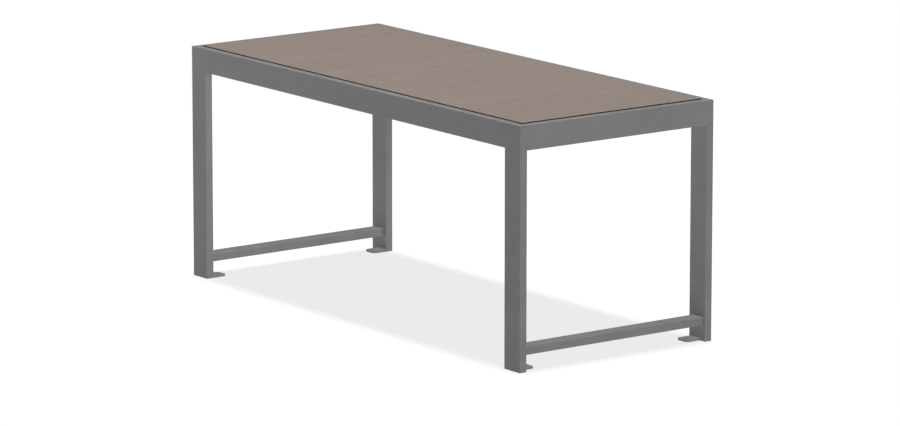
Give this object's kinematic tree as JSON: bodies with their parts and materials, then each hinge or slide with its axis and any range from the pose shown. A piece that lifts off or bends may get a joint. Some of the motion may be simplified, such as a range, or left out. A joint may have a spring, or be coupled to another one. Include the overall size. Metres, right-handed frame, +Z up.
{
  "type": "harvest table",
  "caption": "Long rectangular dining table: boards laid crosswise inside a welded rim of flat-sided tube, on mitred corner legs with end stretchers and foot tabs for anchoring.",
  "frame": {"origin": "on the floor under the middle of the top", "axes": "+X along the table's long side, +Y across it, +Z up"},
  "size_m": [1.7344, 0.7366, 0.7525],
  "materials": {
    "frame": "satin",
    "laminate": "matte",
    "zinc": "satin"
  },
  "bodies": {
    "root": {"top_board_01": "laminate", "top_board_02": "laminate", "top_board_03": "laminate", "top_board_04": "laminate", "top_board_05": "laminate", "top_board_06": "laminate", "top_board_07": "laminate", "top_board_08": "laminate", "top_board_09": "laminate", "top_board_10": "laminate", "top_board_11": "laminate", "screw_near_01": "zinc", "screw_near_02": "zinc", "screw_near_03": "zinc", "screw_near_04": "zinc", "screw_near_05": "zinc", "screw_near_06": "zinc", "screw_near_07": "zinc", "screw_near_08": "zinc", "screw_near_09": "zinc", "screw_near_10": "zinc", "screw_near_11": "zinc", "screw_far_01": "zinc", "screw_far_02": "zinc", "screw_far_03": "zinc", "screw_far_04": "zinc", "screw_far_05": "zinc", "screw_far_06": "zinc", "screw_far_07": "zinc", "screw_far_08": "zinc", "screw_far_09": "zinc", "screw_far_10": "zinc", "screw_far_11": "zinc", "long_apron_near": "frame", "long_apron_far": "frame", "end_apron_left": "frame", "end_apron_right": "frame", "leg_near_left": "frame", "leg_near_right": "frame", "leg_far_left": "frame", "leg_far_right": "frame", "end_stretcher_left": "frame", "end_stretcher_right": "frame", "foot_tab_near_left": "frame", "foot_tab_near_right": "frame", "foot_tab_far_left": "frame", "foot_tab_far_right": "frame", "leg_cap_near_left": "frame", "leg_cap_near_right": "frame", "leg_cap_far_left": "frame", "leg_cap_far_right": "frame", "ledge_near": "frame", "ledge_far": "frame", "deck_rail_near": "frame", "deck_rail_far": "frame", "cross_bearer_left_inner": "frame", "cross_bearer_left_outer": "frame", "cross_bearer_right_inner": "frame", "cross_bearer_right_outer": "frame"}
  },
  "joints": []
}
